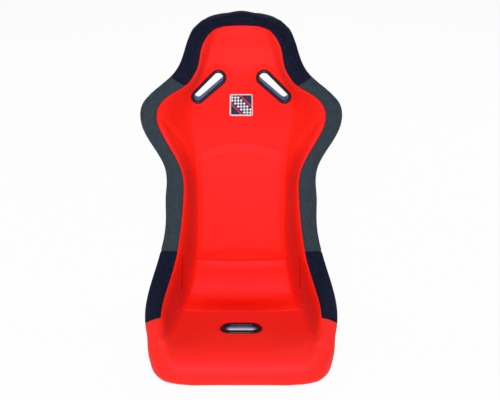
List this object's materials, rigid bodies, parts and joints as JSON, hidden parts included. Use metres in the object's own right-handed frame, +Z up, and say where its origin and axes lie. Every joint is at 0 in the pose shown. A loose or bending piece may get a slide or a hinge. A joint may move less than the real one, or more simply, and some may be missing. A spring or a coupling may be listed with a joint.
{
  "type": "racing bucket seat",
  "caption": "Fixed-back bucket seat: moulded shell, high bolsters, padded panelled cover, harness slots at shoulders, hips and crotch, and bolt holes in both sides.",
  "frame": {"origin": "on the floor, under the middle of the seat's bounding box", "axes": "+X across the seat, to its symmetric other half; the occupant faces -Y; +Z up"},
  "size_m": [0.568, 0.6122, 0.867],
  "materials": {
    "shell": "moulded glass fibre, black gelcoat",
    "foam": "open-cell polyurethane foam",
    "red_velour": "short-pile velour",
    "navy_cloth": "plain woven cloth",
    "grey_cloth": "plain woven cloth",
    "trim": "satin extruded edge trim",
    "black_plastic": "satin moulded plastic",
    "steel": "bare rolled steel",
    "patch": "woven patch, stitched on"
  },
  "bodies": {
    "root": {"shell": "shell", "seat_foam": "foam", "back_foam": "foam", "head_foam": "foam", "left_thigh_foam": "foam", "right_thigh_foam": "foam", "left_side_foam": "foam", "right_side_foam": "foam", "seat_cover": "red_velour", "lumbar_cover": "red_velour", "back_cover": "red_velour", "left_hip_cover": "navy_cloth", "right_hip_cover": "navy_cloth", "left_side_cover": "grey_cloth", "right_side_cover": "grey_cloth", "head_cover": "navy_cloth", "edge_trim": "trim", "front_bezels": "black_plastic", "rear_bezels": "black_plastic", "lap_bezels": "black_plastic", "left_mount_plate": "steel", "right_mount_plate": "steel", "chest_patch": "patch"}
  },
  "joints": []
}
